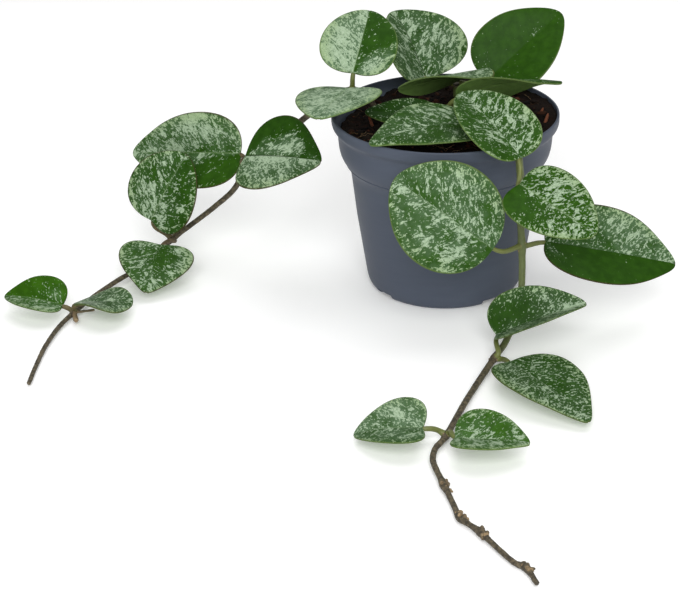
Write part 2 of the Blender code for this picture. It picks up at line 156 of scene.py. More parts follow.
Stem = namedtuple("Stem", "name start_radius end_radius route nodes knots green_until")
STEMS = [
    Stem("left_vine", 1.9, 1.15, [
        (-38, 13, 72), (-38, 13, 94), (-43, 8, 103), (-49, 2, 108), (-62, 1, 104),
        (-75, 12, 89), (-91, 22, 73), (-109, 27, 57), (-116, 25, 43), (-129, 24, 31),
        (-142, 26, 20), (-153, 24, 12), (-168, 5, 4.5), (-180, -13, 3), (-190, -34, 3),
        (-196, -50, 3), (-201, -66, 2.6), (-204, -86, 2.4), (-205, -106, 2), (-205, -126, 1.8)],
         [3, 7, 11, 15], [], -0.2),
    Stem("right_vine", 2.1, 1.2, [
        (33, -23, 72), (33, -23, 86), (33, -24, 97), (34, -33, 103), (35, -44, 103), (35.5, -54, 101),
        (37, -60, 92), (38, -62, 79), (38, -63, 65), (39, -65, 49), (39, -70, 29), (36, -78, 15),
        (31, -87, 6), (25, -101, 4), (12, -139, 3.4), (1, -177, 3.4), (-4, -188, 3),
        (-5, -198, 3), (-3, -208, 2.8), (0, -219, 2.6), (4, -234, 2.4), (7, -245, 2.4),
        (13, -253, 2.4), (16, -257, 2.4), (22, -267, 2), (29, -278, 1.9), (34, -282, 1.9),
        (38, -293, 1.9)],
         [7, 9, 13, 15], [19, 21, 23, 26], 0.42),
    Stem("back_shoot", 1.8, 1.6, [(6, 38, 72), (6, 38, 95), (6, 38, 97), (6, 38, 99)], [3], [], 1.0),
    Stem("middle_shoot", 1.7, 1.5, [(-3, 5, 72), (-3, 5, 92), (-2.5, 5, 95), (-2, 5, 97)],
         [3], [], 1.0),
    Stem("front_shoot", 1.7, 1.5, [(21, -11, 70), (21, -11, 93), (20, -12, 95), (19, -13, 97)],
         [3], [], 1.0),
]

Stub = namedtuple("Stub", "stem node way length radius tan")
STUBS = [  # where a shoot or petiole has broken off
    Stub("left_vine", 15, (0.28, -0.95, 0.0), 10.0, 1.45, 0.5),
    Stub("left_vine", 15, (0.95, 0.1, 0.08), 11.0, 0.75, 0.15),
    Stub("right_vine", 15, (0.6, 0.7, 0.5), 3.4, 0.9, 0.6)]
STUB_AGE = 0.9
STUB_TAPER = [(0, 1.15), (0.3, 1.0), (0.6, 0.9), (0.9, 1.0), (1.0, 0.8)]

# ---- Leaves ----
LEAF_ROWS = 46
LEAF_SHARES = [  # places of the vertices between the midrib and the margin
    0, 0.018, 0.045, 0.09, 0.17, 0.27, 0.38, 0.49, 0.6, 0.7, 0.79, 0.86, 0.91, 0.945, 0.967,
    0.982, 0.993, 1]
THICKNESS_MIDDLE = 1.5
THICKNESS_MARGIN = 0.9
ROUND_MARGIN = 0.95  # share of the half width beyond which the margin rounds off
ROUND_TIP = 0.975  # share of the length beyond which the tip does
BEAK_POWER = 12  # how short the curve is that draws the tip out
BEAK_PINCH = 2.2  # how much a pointed tip narrows the blade before it
BEAK_PINCH_POWER = 8
CREASE = 0.05  # roundness of the fold along the midrib, per width
MIDRIB_GROOVE = 0.22  # depth on the upper face, and height of the ridge underneath
MIDRIB_RIDGE = 0.35
MIDRIB_WIDTH = 0.75
MIDRIB_LINE = 0.4  # half width of the coloured line along the midrib
MIDRIB_FADE = 1.1  # the higher, the nearer the tip it fades out
WAVE = 0.45  # height and length of the blade's slight unevenness
WAVE_LENGTH = 15.0
WAVE_START = 5.0  # how soon after the petiole it reaches its full height
CURL = 0.35  # how far the margin turns down, and how close to the margin
CURL_POWER = 8
LEAF_SEED = 37.0  # step between the noises of two leaves, and of a leaf's halves
HALF_SEED = 11.0
PETIOLE_RADIUS = 1.35
PETIOLE_SIDES = 14
PETIOLE_STEPS = 26
PETIOLE_PULL = 0.4  # how straight it leaves the stem and meets the leaf
PETIOLE_TAPER = 0.35
PETIOLE_FOOT = (0.3, 0.2)  # how much thicker its foot is, and over which share of it
PETIOLE_ROOT = 0.6  # how far its foot reaches into the stem
PETIOLE_SINK = 5.0  # length of petiole that runs on into the blade
PETIOLE_DROP = 0.55  # how far its end sinks under the upper face
PETIOLE_RELIEF = 0.06  # height and size of its unevenness
PETIOLE_LUMP = 1.3
PETIOLE_AGE = 0.15  # 0 is green, 1 is brown
OLD_PETIOLES = {3: 0.75, 4: 0.75, 5: 0.6, 6: 0.75, 7: 0.6, 8: 0.6}  # by the leaf's number

# Leaves by stem, outwards from the pot: the route point a leaf grows from, the way its petiole
# leaves (None: straight to the blade), the blade's base, tip and width, how far its lobes reach
# back, how near the base it is widest, how drawn out its tip is, and its angles
Leaf = namedtuple("Leaf", "node leave base tip width lobe shoulder beak roll fold bend twist",
                  defaults=[0])
LEAVES = {
    "left_vine": [
        Leaf(3, None, (-48, -1, 119), (-40, 29, 143), 42, 0.18, 0.1, 0.04, -10, 14, 8),
        Leaf(3, (-1, -3, 1), (-50, -6, 112), (-64, -42, 109), 46, 0.16, 0.15, 0.06, -6, 4, 10),
        Leaf(7, (1, -2, 0), (-107, 4, 70), (-65, -16, 75), 51, 0.1, 0.04, 0.13, -32, 10, 20),
        Leaf(7, (-1, 1, 0), (-113, 31, 61), (-177, 55, 52), 48, 0.16, 0.15, 0.12, 61, 28, 11),
        Leaf(11, (-2, 0, 1), (-163, 19, 26), (-141.5, 23, 63.5), 46, 0.18, 0.02, 0.05, -48, 8, 14),
        Leaf(11, (1, -3, 0), (-156, 3, 18), (-160, -32, 6), 41, 0.16, 0.15, 0.12, 8, 6, 10),
        Leaf(15, None, (-195, -52, 9), (-164, -50, 9), 32, 0.0, -0.25, 0.06, 7, 6, 10, 34),
        Leaf(15, None, (-202, -50, 7), (-234, -43, 9), 29, 0.16, 0.15, 0.1, 19, 28, 24),
    ],
    "right_vine": [
        Leaf(7, (-1, -2, 0), (37, -65, 97), (8, -24, 116), 40, 0.14, 0.15, 0.05, 9, 20, 14),
        Leaf(7, (2, -1, 0), (37, -73, 86), (72, -107, 74), 38, 0.18, 0.1, 0.07, -29, 7, 4),
        Leaf(9, None, (24, -78, 53), (-25, -73, 89), 56, 0.02, 0.0, 0.05, 66, 10, 10),
        Leaf(9, None, (51, -62, 50), (119, -46, 30), 47, 0.14, 0.02, 0.12, -50, 28, 10),
        Leaf(13, (1, 0, 1), (26, -89, 11), (71, -84, 26), 39, 0.18, 0.15, 0.09, -24, 46, 10),
        Leaf(13, (1, 0, 0), (32, -113, 8), (67.5, -166.5, 5), 41, 0.06, 0.1, 0.12, 0, 12, 16),
        Leaf(15, None, (-10, -180, 9), (-42, -178, 4), 36, 0.26, 0.15, 0.1, 8, 18, 20),
        Leaf(15, (1, 0, 1), (5, -187, 8), (39, -193, 9), 37, 0.18, 0.15, 0.09, -2, 20, 4),
    ],
    "back_shoot": [
        Leaf(3, None, (-11, 40, 101), (-28, 57, 134), 65, 0.12, 0.15, 0.06, -4, 24, 14),
        Leaf(3, None, (23, 40, 100), (63, 58, 132), 47, 0.1, 0.15, 0.07, -38, 18, 6),
    ],
    "middle_shoot": [
        Leaf(3, None, (24, 24, 112), (-25, 12, 105), 40, 0.1, 0.15, 0.08, -30, -10, 10, 40),
        Leaf(3, None, (6, -2, 106), (61, 0, 113), 38, 0.08, 0.0, 0.08, 34, -8, 30, 44),
    ],
    "front_shoot": [
        Leaf(3, None, (15, -23, 99), (-38, -50, 98), 47, 0.12, 0.15, 0.14, 6, 6, 24),
        Leaf(3, (-1, 1, 0), (-4, -9, 96), (-42, -3, 98), 24, 0.12, 0.15, 0.08, 20, 10, 10),
    ],
}

# How each leaf is splashed with silver: coverage (0 none, 1 all) of its left and right halves as
# seen from the petiole, size of the flecks (0 dust, 1 blotches), haze of the green between them
# (a pale film, partly the leaf's own silvery mist and partly painted sheen), tones of the margin
# (0 pale, 1 brown), of the midrib (0 pale, 1 dark) and of the green (0 dark, 1 bright), and
# patches that add or take coverage: (along, across, radius, amount)
Splash = namedtuple("Splash", "left right coarse haze margin midrib green patches", defaults=[()])
SPLASHES = {
    "left_vine": [
        Splash(0.7, 0.0, 0.6, 0.8, 0.1, 0.3, 0.4,
               [(0.14, -0.75, 0.3, 0.8), (0.35, 0.6, 0.35, 0.35)]),
        Splash(0.7, 0.7, 0.6, 1.0, 0.2, 0.3, 0.3),
        Splash(-0.3, 0.55, 0.7, 0.6, 0.9, 1.0, 0.3,
               [(0.6, 0.3, 0.25, 0.85), (0.25, 0.1, 0.25, 0.75), (0.95, 0.2, 0.15, 0.6)]),
        Splash(0.42, 0.45, 0.75, 0.5, 0.9, 0.3, 0.6,
               [(0.2, 0.7, 0.3, -0.6), (0.4, -0.7, 0.3, 0.3), (0.85, 0.2, 0.3, 0.4)]),
        Splash(0.5, 0.4, 0.8, 0.25, 1.0, 0.3, 0.4, [(0.1, 0.5, 0.25, 0.2), (0.3, 0.15, 0.25, 0.2)]),
        Splash(0.5, 0.5, 0.6, 0.25, 0.9, 0.5, 0.5,
               [(0.35, 0.8, 0.25, 0.5), (0.35, 0.3, 0.3, -0.4)]),
        Splash(0.55, 0.55, 0.4, 0.5, 0.6, 0.5, 0.3),
        # The patch on this leaf's right half adds silver flecks where glints of reflected light show:
        # painted glints
        Splash(0.55, 0.02, 0.3, 0.3, 0.4, 0.4, 1.0, [(0.15, -0.35, 0.2, 0.7)]),
    ],
    "right_vine": [
        Splash(0.5, 0.62, 0.9, 0.1, 0.1, 0.5, 0.45,
               [(0.3, 0.8, 0.35, -0.3), (0.3, -0.9, 0.3, -0.2)]),
        Splash(0.6, 0.62, 0.75, 0.0, 0.2, 0.25, 0.55,
               [(0.15, -0.7, 0.32, -1.0), (0.1, 0.5, 0.15, -0.3)]),
        Splash(0.42, 0.42, 0.75, 0.6, 0.3, 0.4, 0.5, [(0.5, 0.0, 0.3, 0.15)]),
        Splash(0.6, -0.35, 0.5, 0.6, 1.0, 0.7, 0.4,
               [(0.15, 0.4, 0.3, -0.4), (0.08, -0.6, 0.2, 0.9)]),
        Splash(0.5, 0.6, 0.3, 0.3, 0.4, 0.5, 0.3,
               [(0.25, 0.4, 0.25, -0.5), (0.95, 0.0, 0.25, 0.8)]),
        Splash(0.5, 0.55, 0.35, 0.2, 0.5, 0.5, 0.3),
        Splash(0.5, 0.52, 0.5, 0.85, 0.3, 0.4, 0.45),
        Splash(0.6, 0.62, 0.75, 0.3, 0.2, 0.4, 0.95, [(0.6, 0.5, 0.3, -0.3)]),
    ],
    "back_shoot": [
        Splash(0.45, 0.5, 0.85, 0.55, 0.2, 1.0, 0.3),
        Splash(-0.4, -0.4, 0.1, 0.1, 0.3, 0.5, 0.52,
               [(0.15, 0.6, 0.2, 0.5), (0.15, -0.6, 0.25, 0.5), (0.7, 0.1, 0.1, 0.55)]),
    ],
    "middle_shoot": [
        Splash(0.55, 0.6, 0.3, 0.6, 0.3, 0.4, 0.3),
        Splash(0.15, 0.2, 0.3, 0.3, 0.3, 0.4, 0.4),
    ],
    "front_shoot": [
        Splash(0.35, 0.5, 0.8, 0.35, 0.2, 0.5, 0.4),
        Splash(0.1, 0.2, 0.3, 0.2, 0.3, 0.6, 0.0),
    ],
}
PATCH_STRETCH = 1.6  # how much wider than long a patch is
VEIN_ANGLE = 52  # between the midrib and the side veins, along which flecks run

# Leaf surface: the noise level above which silver shows, what shifts it, and how soft its edge is
PATCHINESS = 1.1
COVER_GAIN = -0.2
DUST_GAIN = -0.04  # near the margin
FLECK_LEVEL = 0.66
FLECK_COARSE_GAIN = 0.03
FLECK_SOFTNESS = (0.01, 0.035)
FLECK_STRENGTH = 0.85
BLOTCH_LEVEL = 0.745
BLOTCH_COARSE_GAIN = -0.12
BLOTCH_SOFTNESS = 0.018
HOLE_DEPTH = -0.75  # of green dots in the blotches
# Pale film over the green: partly the leaf's own silvery mist, partly painted sheen
HAZE_AND_SHEEN_COLOUR = (0.11, 0.18, 0.1)
DARK_GREENS = ((0.01, 0.036, 0.003), (0.022, 0.074, 0.003))  # of a dark and a bright leaf
BRIGHT_GREENS = ((0.014, 0.048, 0.004), (0.034, 0.108, 0.005))
SILVERS = ((0.18, 0.27, 0.145), (0.46, 0.57, 0.42))
SILVERS_AT_MARGIN = ((0.15, 0.25, 0.07), (0.36, 0.47, 0.23))
# Paler green of the underside, brightened further to stand in for light shining through the leaf:
# painted backlight
UNDERSIDES_WITH_PAINTED_BACKLIGHT = ((0.09, 0.17, 0.035), (0.17, 0.28, 0.08))
MIDRIBS = ((0.2, 0.3, 0.13), (0.012, 0.028, 0.006))
MIDRIB_CONTRAST = 1.6
MARGINS = ((0.11, 0.18, 0.05), (0.045, 0.03, 0.014))
LEAF_ROUGHNESS = 0.36

# Other colours, dark and light
STEM_GREEN = ((0.06, 0.08, 0.02), (0.13, 0.16, 0.045))
STEM_BARK = ((0.034, 0.027, 0.015), (0.125, 0.1, 0.058))
PETIOLE_GREEN = ((0.08, 0.1, 0.02), (0.17, 0.19, 0.05))
PETIOLE_BROWN = ((0.06, 0.04, 0.018), (0.14, 0.1, 0.045))
DRY_SKIN = ((0.2, 0.12, 0.05), (0.5, 0.36, 0.2))
SOIL_BROWN = ((0.002, 0.0015, 0.001), (0.016, 0.009, 0.006))
SOIL_RED = (0.035, 0.012, 0.006)
BIT_DARKENING = (0.4, 0.35, 0.3)
POT_GREY = ((0.064, 0.076, 0.103), (0.077, 0.091, 0.122))
POT_DUST = (0.25, 0.25, 0.25)

# Camera, floor and lights, in metres
CAMERA_PLACE = Vector((0.0, -0.9367, 0.4472))
CAMERA_TURN = (3.523, 26.025, -1.375)  # to the left, down, and about its own axis
LENS = 100.0
FLOOR_SIZE = 30.0
FLOOR_COLOUR = (0.94, 0.94, 0.94)
FLOOR_ROUGH = 0.9
FLOOR_GLOW = 0.16
WHITE = (1.0, 1.0, 1.0, 1.0)
WORLD_STRENGTH = 0.3
LIGHT_AIM = Vector((0, -0.05, 0.05))
LIGHTS = [  # (name, place, size, power)
    ("key", (0.05, -1.7, 1.15), 1.4, 34.0),
    ("fill", (1.5, -1.2, 1.0), 1.2, 0.8),
    ("top", (0.1, 0.5, 1.9), 2.2, 19.0)]


# ---- Helpers ----
def finish_mesh(name, mesh, materials, node, slot):
    """Make an object of a mesh, shade it, and let it stand for a CAD node."""
    for material in materials:
        mesh.materials.append(material)
    mesh.shade_smooth()
    mesh.set_sharp_from_angle(angle=math.radians(SHARP_ANGLES.get(name) or SHARP_ANGLES[slot]))
    item = bpy.data.objects.new(name, mesh)
    bpy.context.scene.collection.objects.link(item)
    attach(item, "root")
    if node:
        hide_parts(node)
    return item


def outward(form, mesh):
    """Turn the faces of a bmesh outwards, and move it to a mesh."""
    bmesh.ops.recalc_face_normals(form, faces=form.faces)
    form.to_mesh(mesh)
    form.free()
    return mesh


def mesh_of(name, points, faces, indices=None):
    """A mesh of points in millimetres; the indices are of the faces' materials."""
    mesh = bpy.data.meshes.new(name)
    mesh.from_pydata([tuple(point) for point in np.asarray(points) * MM], [], faces)
    if indices is not None:
        mesh.polygons.foreach_set("material_index", indices)
    form = bmesh.new()
    form.from_mesh(mesh)
    return outward(form, mesh)


def join(parts):
    """One list of points and one of faces, out of several parts of (points, faces)."""
    points, faces = [], []
    for part_points, part_faces in parts:
        start = len(points)
        points.extend(part_points)
        faces.extend(tuple(start + corner for corner in face) for face in part_faces)
    return points, faces


def set_attribute(mesh, name, values):
    """Store one number or one vector for each vertex."""
    values = np.asarray(values, dtype=np.float32)
    kind, field = ("FLOAT", "value") if values.ndim == 1 else ("FLOAT_VECTOR", "vector")
    attribute = mesh.attributes.new(name, kind, "POINT")
    attribute.data.foreach_set(field, values.ravel())


def unit(vector):
    return vector / np.linalg.norm(vector)


def smooth_route(route):
    """Close-set points on a Catmull-Rom curve through the route's points."""
    knots = [Vector(point) for point in route]
    knots = [2 * knots[0] - knots[1]] + knots + [2 * knots[-1] - knots[-2]]
    points = []
    for before, here, after, beyond in zip(knots, knots[1:], knots[2:], knots[3:]):
        for step in range(ROUTE_SAMPLES):
            t = step / ROUTE_SAMPLES
            points.append(0.5 * (2 * here + (after - before) * t
                                 + (2 * before - 5 * here + 4 * after - beyond) * t * t
                                 + (3 * here - before - 3 * after + beyond) * t ** 3))
    return np.array(points + [knots[-2]])


def sweep(points, radii, sides, roughen=None):
    """Rings of vertices round a line of points, and the faces of the closed tube they make."""
    points = np.asarray(points, dtype=float)
    lean = np.array((0.3, 1.0, 0.2))  # any start that no tube runs along
    rings = []
    for index, (point, radius) in enumerate(zip(points, radii)):
        ahead = points[min(index + 1, len(points) - 1)]
        behind = points[max(index - 1, 0)]
        tangent = unit(ahead - behind)
        lean = unit(lean - tangent * lean.dot(tangent))
        across = np.cross(tangent, lean)
        for side in range(sides):
            turn = math.tau * side / sides
            out = lean * math.cos(turn) + across * math.sin(turn)
            extra = roughen(index, turn, point + out * radius) if roughen else 0.0
            rings.append(point + out * (radius + extra))
    faces = []
    for ring in range(len(points) - 1):
        for side in range(sides):
            after = (side + 1) % sides
            low, high = ring * sides, (ring + 1) * sides
            faces.append((low + side, low + after, high + after, high + side))
    faces.append(tuple(range(sides))[::-1])
    last = (len(points) - 1) * sides
    faces.append(tuple(range(last, last + sides)))
    return np.array(rings), faces


def spike(foot, way, radius, taper, sides, lowest=-math.inf):
    """A straight tube along a way; its taper is of (share of the way, share of the radius)."""
    line = [foot + way * share for share, _ in taper]
    for point in line:
        point[2] = max(point[2], lowest)
    return sweep(line, [radius * share for _, share in taper], sides)


# ---- Node trees ----
class Tree:
    """A material's node tree, with short ways to add what the materials below need."""

    def __init__(self, name):
        self.material = bpy.data.materials.new(name)
        self.material.use_nodes = True
        self.nodes = self.material.node_tree.nodes
        self.links = self.material.node_tree.links
        self.shader = self.nodes["Principled BSDF"]

    def put(self, socket, value):
        """Link a socket, or set the value that it holds; None leaves it as it is."""
        if value is None:
            return
        if isinstance(value, bpy.types.NodeSocket):
            self.links.new(value, socket)
        elif isinstance(value, tuple) and len(value) == 3 and socket.type == "RGBA":
            socket.default_value = (*value, 1.0)
        else:
            socket.default_value = value

    def add(self, kind, inputs, output, **settings):
        """One output of a new node, some of whose inputs are linked or set."""
        node = self.nodes.new("ShaderNode" + kind)
        for name, value in settings.items():
            setattr(node, name, value)
        for key, value in inputs.items():
            self.put(node.inputs[key], value)
        return node.outputs[output]

    def attribute(self, name, output="Fac"):
        return self.add("Attribute", {}, output, attribute_name=name)

    def place(self):
        return self.add("TexCoord", {}, "Object")

    def math(self, operation, *values):
        return self.add("Math", dict(enumerate(values)), 0, operation=operation)

    def times(self, *values):
        return self.math("MULTIPLY", *values)

    def times_plus(self, *values):
        return self.math("MULTIPLY_ADD", *values)

    def stretched(self, vector, factors):
        return self.add("VectorMath", {0: vector, 1: factors}, 0, operation="MULTIPLY")

    def noise(self, vector, scale, detail=3.0, roughness=0.55, distortion=0.0, stretch=None):
        if stretch:
            vector = self.stretched(vector, stretch)
        inputs = {"Vector": vector, "Scale": scale, "Detail": detail, "Roughness": roughness,
                  "Distortion": distortion}
        return self.add("TexNoise", inputs, "Fac")

    def step(self, value, low, high):
        """0 below low, 1 above high, and a smooth change between them."""
        inputs = {"Value": value, "From Min": low, "From Max": high}
        return self.add("MapRange", inputs, "Result", interpolation_type="SMOOTHSTEP")

    def mix(self, share, first, second):
        return self.add("Mix", {0: share, 6: first, 7: second}, 2, data_type="RGBA")

    def bump(self, height, depth, strength, under=None):
        """Relief of a depth in metres, on top of the relief that is given as under."""
        inputs = {"Height": height, "Distance": depth, "Strength": strength, "Normal": under}
        return self.add("Bump", inputs, "Normal")

    def finish(self, colour, roughness, normal=None, specular=None):
        inputs = {"Base Color": colour, "Roughness": roughness, "Normal": normal,
                  "Specular IOR Level": specular}
        for key, value in inputs.items():
            self.put(self.shader.inputs[key], value)
        return self.material


def leaf_silver(tree, spot, edge, amount, fleck):
    """Fine flecks, and larger blotches along the side veins with green dots in them."""
    coarse = tree.attribute("coarse")
    dust = tree.step(edge, 0.7, 0.97)
    level = tree.times_plus(coarse, FLECK_COARSE_GAIN, FLECK_LEVEL)
    level = tree.times_plus(amount, COVER_GAIN, level)
    level = tree.times_plus(dust, DUST_GAIN, level)
    below, above = FLECK_SOFTNESS
    flecks = tree.step(fleck, tree.math("SUBTRACT", level, below), tree.math("ADD", level, above))
    blotch = tree.noise(spot, 0.26, 4.0, 0.68, distortion=0.6, stretch=(0.55, 1.15, 1.0))
    level = tree.times_plus(coarse, BLOTCH_COARSE_GAIN, BLOTCH_LEVEL)
    level = tree.times_plus(amount, COVER_GAIN, level)
    blotches = tree.step(blotch, level, tree.math("ADD", level, BLOTCH_SOFTNESS))
    dot = tree.noise(spot, 0.95, 2.0, 0.6, distortion=1.2, stretch=(0.8, 1.2, 1.0))
    keep = tree.times_plus(tree.step(dot, 0.52, 0.62), HOLE_DEPTH, 1.0)
    return tree.math("MAXIMUM", tree.times(flecks, FLECK_STRENGTH), tree.times(blotches, keep))


def leaf_material():
    """Waxy green with silver splashes and a pale haze that is partly painted sheen, a midrib, a
    margin and a pale underside brightened with painted light shining through.
    """
    tree = Tree("leaf_upper_and_lower")
    spot = tree.attribute("spot", "Vector")
    edge = tree.attribute("edge")
    under = tree.attribute("under")
    upper = tree.math("SUBTRACT", 1.0, under)
    fleck = tree.noise(spot, 0.75, 2.0, 0.6, distortion=0.4, stretch=(0.85, 1.2, 1.0))
    cover = tree.math("SUBTRACT", tree.attribute("cover"), PATCHINESS / 2)
    amount = tree.times_plus(tree.noise(spot, 0.1, 2.0), PATCHINESS, cover)
    silver = tree.times(leaf_silver(tree, spot, edge, amount, fleck), upper)

    tone = tree.noise(spot, 0.22)
    green = tree.attribute("green")
    dark, bright = tree.mix(green, *DARK_GREENS), tree.mix(green, *BRIGHT_GREENS)
    # The pale film, shown where the silver is thick, is partly the leaf's own mist and partly painted
    # sheen
    haze_and_sheen_mask = tree.step(tree.times_plus(tree.noise(spot, 0.28, 4.0), 0.6, amount), 0.4, 1.15)
    haze_and_sheen_film = tree.times(tree.times(haze_and_sheen_mask, tree.attribute("haze")), upper)
    plain = tree.mix(haze_and_sheen_film, tree.mix(tree.step(tone, 0.3, 0.75), dark, bright), HAZE_AND_SHEEN_COLOUR)
    shade = tree.noise(spot, 1.2)
    yellowing = tree.times(tree.step(edge, 0.6, 0.95), 0.5)
    pale = tree.mix(yellowing, tree.mix(shade, *SILVERS), tree.mix(shade, *SILVERS_AT_MARGIN))
    colour = tree.mix(silver, plain, pale)
    # The underside's colour is brightened to stand in for light shining through the leaf: painted
    # backlight
    colour = tree.mix(tree.times(under, 0.92), colour, tree.mix(tone, *UNDERSIDES_WITH_PAINTED_BACKLIGHT))

    midrib = tree.attribute("midrib")
    line = tree.mix(tree.step(midrib, 0.45, 0.55), *MIDRIBS)
    contrast = tree.math("ABSOLUTE", tree.times_plus(midrib, MIDRIB_CONTRAST, -MIDRIB_CONTRAST / 2))
    colour = tree.mix(tree.times(tree.attribute("rib"), contrast), colour, line)
    margin = tree.mix(tree.attribute("margin"), *MARGINS)
    speckle = tree.times_plus(fleck, 0.9, 0.4)
    colour = tree.mix(tree.times(tree.step(edge, 0.955, 0.985), speckle), colour, margin)

    veins = tree.noise(spot, 0.2, 1.0, stretch=(0.03, 1.0, 0.2))
    relief = tree.bump(veins, depth=0.0005, strength=0.5)
    relief = tree.bump(tree.noise(spot, 6.0), depth=0.0001, strength=0.4, under=relief)
    relief = tree.bump(silver, depth=0.00008, strength=0.4, under=relief)
    rough = tree.times_plus(under, 0.12, LEAF_ROUGHNESS)
    rough = tree.times_plus(silver, 0.1, rough)
    return tree.finish(colour, rough, relief, specular=0.05)


def stalk_material(name, young, old):
    """Skin of a stem or petiole, from olive green where it is young to brown-grey bark."""
    tree = Tree(name)
    place = tree.place()
    mottle = tree.noise(place, 500.0, 4.0, 0.65)
    age = tree.math("ADD", tree.attribute("age"), tree.times(mottle, 0.4))
    share = tree.step(age, 0.35, 1.0)
    bark = tree.mix(tree.step(mottle, 0.38, 0.66), *old)
    colour = tree.mix(share, tree.mix(mottle, *young), bark)
    colour = tree.mix(tree.attribute("tan"), colour, tree.mix(mottle, *DRY_SKIN))
    relief = tree.bump(mottle, depth=0.0005, strength=0.6)
    relief = tree.bump(tree.noise(place, 2600.0), depth=0.00015, strength=0.5, under=relief)
    return tree.finish(colour, tree.times_plus(share, 0.25, 0.5), relief)


def soil_material():
    """Nearly black crumbs with reddish places."""
    tree = Tree("potting_soil")
    place = tree.place()
    lumps = tree.noise(place, 420.0, 5.0, 0.7)
    red = tree.step(tree.noise(place, 160.0), 0.52, 0.7)
    colour = tree.mix(tree.times(red, 0.5), tree.mix(lumps, *SOIL_BROWN), SOIL_RED)
    relief = tree.bump(lumps, depth=0.0016, strength=0.9)
    relief = tree.bump(tree.noise(place, 1500.0, 4.0, 0.7), depth=0.0005, strength=0.9, under=relief)
    return tree.finish(colour, 0.95, relief, specular=0.12)


def bit_material():
    """Bark, coir and mineral bits: each carries its own tint."""
    tree = Tree("soil_bits")
    tint = tree.attribute("tint", "Vector")
    grain = tree.noise(tree.place(), 1800.0, 4.0, 0.7)
    colour = tree.mix(tree.step(grain, 0.3, 0.75), tint, tree.stretched(tint, BIT_DARKENING))
    return tree.finish(colour, 0.9, tree.bump(grain, depth=0.0004, strength=0.8), specular=0.15)


def pot_material():
    """Blue-grey moulded plastic: faint flow marks, fine grain and a little dust."""
    tree = Tree("moulded_pot")
    place = tree.place()
    flow = tree.noise(place, 45.0, stretch=(1.0, 1.0, 5.0))
    dust = tree.step(tree.noise(place, 90.0, 5.0, 0.7), 0.6, 0.8)
    colour = tree.mix(tree.times(dust, 0.05), tree.mix(flow, *POT_GREY), POT_DUST)
    relief = tree.bump(flow, depth=0.0004, strength=0.35)
    relief = tree.bump(tree.noise(place, 2400.0, 2.0), depth=0.00006, strength=0.5, under=relief)
    return tree.finish(colour, tree.times_plus(flow, 0.12, 0.42), relief, specular=0.12)


# ---- Pot ----
def rounded(profile):
    """Cut the corners of a profile, so that it turns with a small radius at each."""
    for _ in range(CORNER_ROUNDS):
        cut = [profile[0]]
        for (r0, z0), (r1, z1) in zip(profile, profile[1:]):
            reach = min(CORNER_SHARE, CORNER_LENGTH / math.hypot(r1 - r0, z1 - z0))
            cut.append((r0 + (r1 - r0) * reach, z0 + (z1 - z0) * reach))
            cut.append((r1 + (r0 - r1) * reach, z1 + (z0 - z1) * reach))
        profile = cut + [profile[-1]]
    return profile


def turned_mesh(name, profile, sides):
    """A mesh of a profile of (radius, height), turned round the upright axis."""
    form = bmesh.new()
    points = [form.verts.new((radius * MM, 0, height * MM)) for radius, height in profile]
    edges = [form.edges.new(pair) for pair in zip(points, points[1:])]
    bmesh.ops.spin(form, geom=points + edges, cent=(0, 0, 0), axis=(0, 0, 1),
                   angle=math.tau, steps=sides, use_merge=True)
    bmesh.ops.remove_doubles(form, verts=form.verts, dist=1e-7)
    return outward(form, bpy.data.meshes.new(name))


def pot_inside():
    wall = [(radius - WALL, height) for radius, height in POT_OUTSIDE if height > WALL_START]
    wall[-1] = (RIM_RADIUS - WALL, POT_HEIGHT)
    return wall


def cut_notch(pot, degrees):
    """Cut a drain notch out of the pot's foot."""
    inner, outer = DRAIN_REACH
    middle = (inner + outer) / 2 * MM
    turn = math.radians(degrees)
    bpy.ops.mesh.primitive_cube_add(size=1)
    block = bpy.context.object
    block.scale = ((outer - inner) * MM, DRAIN_WIDTH * MM, 2 * DRAIN_HEIGHT * MM)
    block.location = (middle * math.cos(turn), middle * math.sin(turn), 0)
    block.rotation_euler.z = turn
    cut = pot.modifiers.new("notch", "BOOLEAN")
    cut.operation = "DIFFERENCE"
    cut.solver = "EXACT"
    cut.object = block
    graph = bpy.context.evaluated_depsgraph_get()
    pot.data = bpy.data.meshes.new_from_object(pot.evaluated_get(graph))
    pot.modifiers.clear()
    bpy.data.objects.remove(block, do_unlink=True)


def build_pot():
    outside = []
    for (r0, z0), (r1, z1) in zip(POT_OUTSIDE, POT_OUTSIDE[1:]):
        outside.append((r0, z0))
        if z0 < MOULD_LINE < z1:
            radius = r0 + (r1 - r0) * ((MOULD_LINE - z0) / (z1 - z0))
            outside += [(radius + out, MOULD_LINE + up) for out, up in MOULD_LINE_SECTION]
    outside.append(POT_OUTSIDE[-1])
    inside = list(reversed(pot_inside())) + [(BASE_RADIUS - WALL, FLOOR), (0, FLOOR)]
    mesh = turned_mesh("pot", rounded(outside + inside), POT_SIDES)
    pot = finish_mesh("pot", mesh, [pot_material()], "nursery_pot", "pot")
    for degrees in DRAIN_ANGLES:
        cut_notch(pot, degrees)


# ---- Soil ----
def soil_height(x, y):
    """Height of the surface: heaped to the back right, banked against the wall, and lumpy."""
    heap = 0.5 + 0.5 * math.tanh((x + SOIL_HEAP_TURN * y) / SOIL_SLOPE_LENGTH)
    place = Vector((x, y, SOIL_SEED))
    rough = noise.noise(place / SOIL_LUMP) + 0.5 * noise.noise(place / SOIL_CRUMB)
    bank = max(0.0, math.hypot(x, y) / SOIL_EDGE_RADIUS - SOIL_BANK_START) / (1 - SOIL_BANK_START)
    return SOIL_EDGE_HEIGHT + (SOIL_HEAP + SOIL_BANK * bank) * heap + SOIL_ROUGHNESS * rough


def fine_relief(x, y):
    """Height of the finest crumbs, on top of the solid's own relief."""
    place = Vector((x, y, RELIEF_SEED))
    return sum(height * noise.noise(place / size) for height, size in RELIEF)


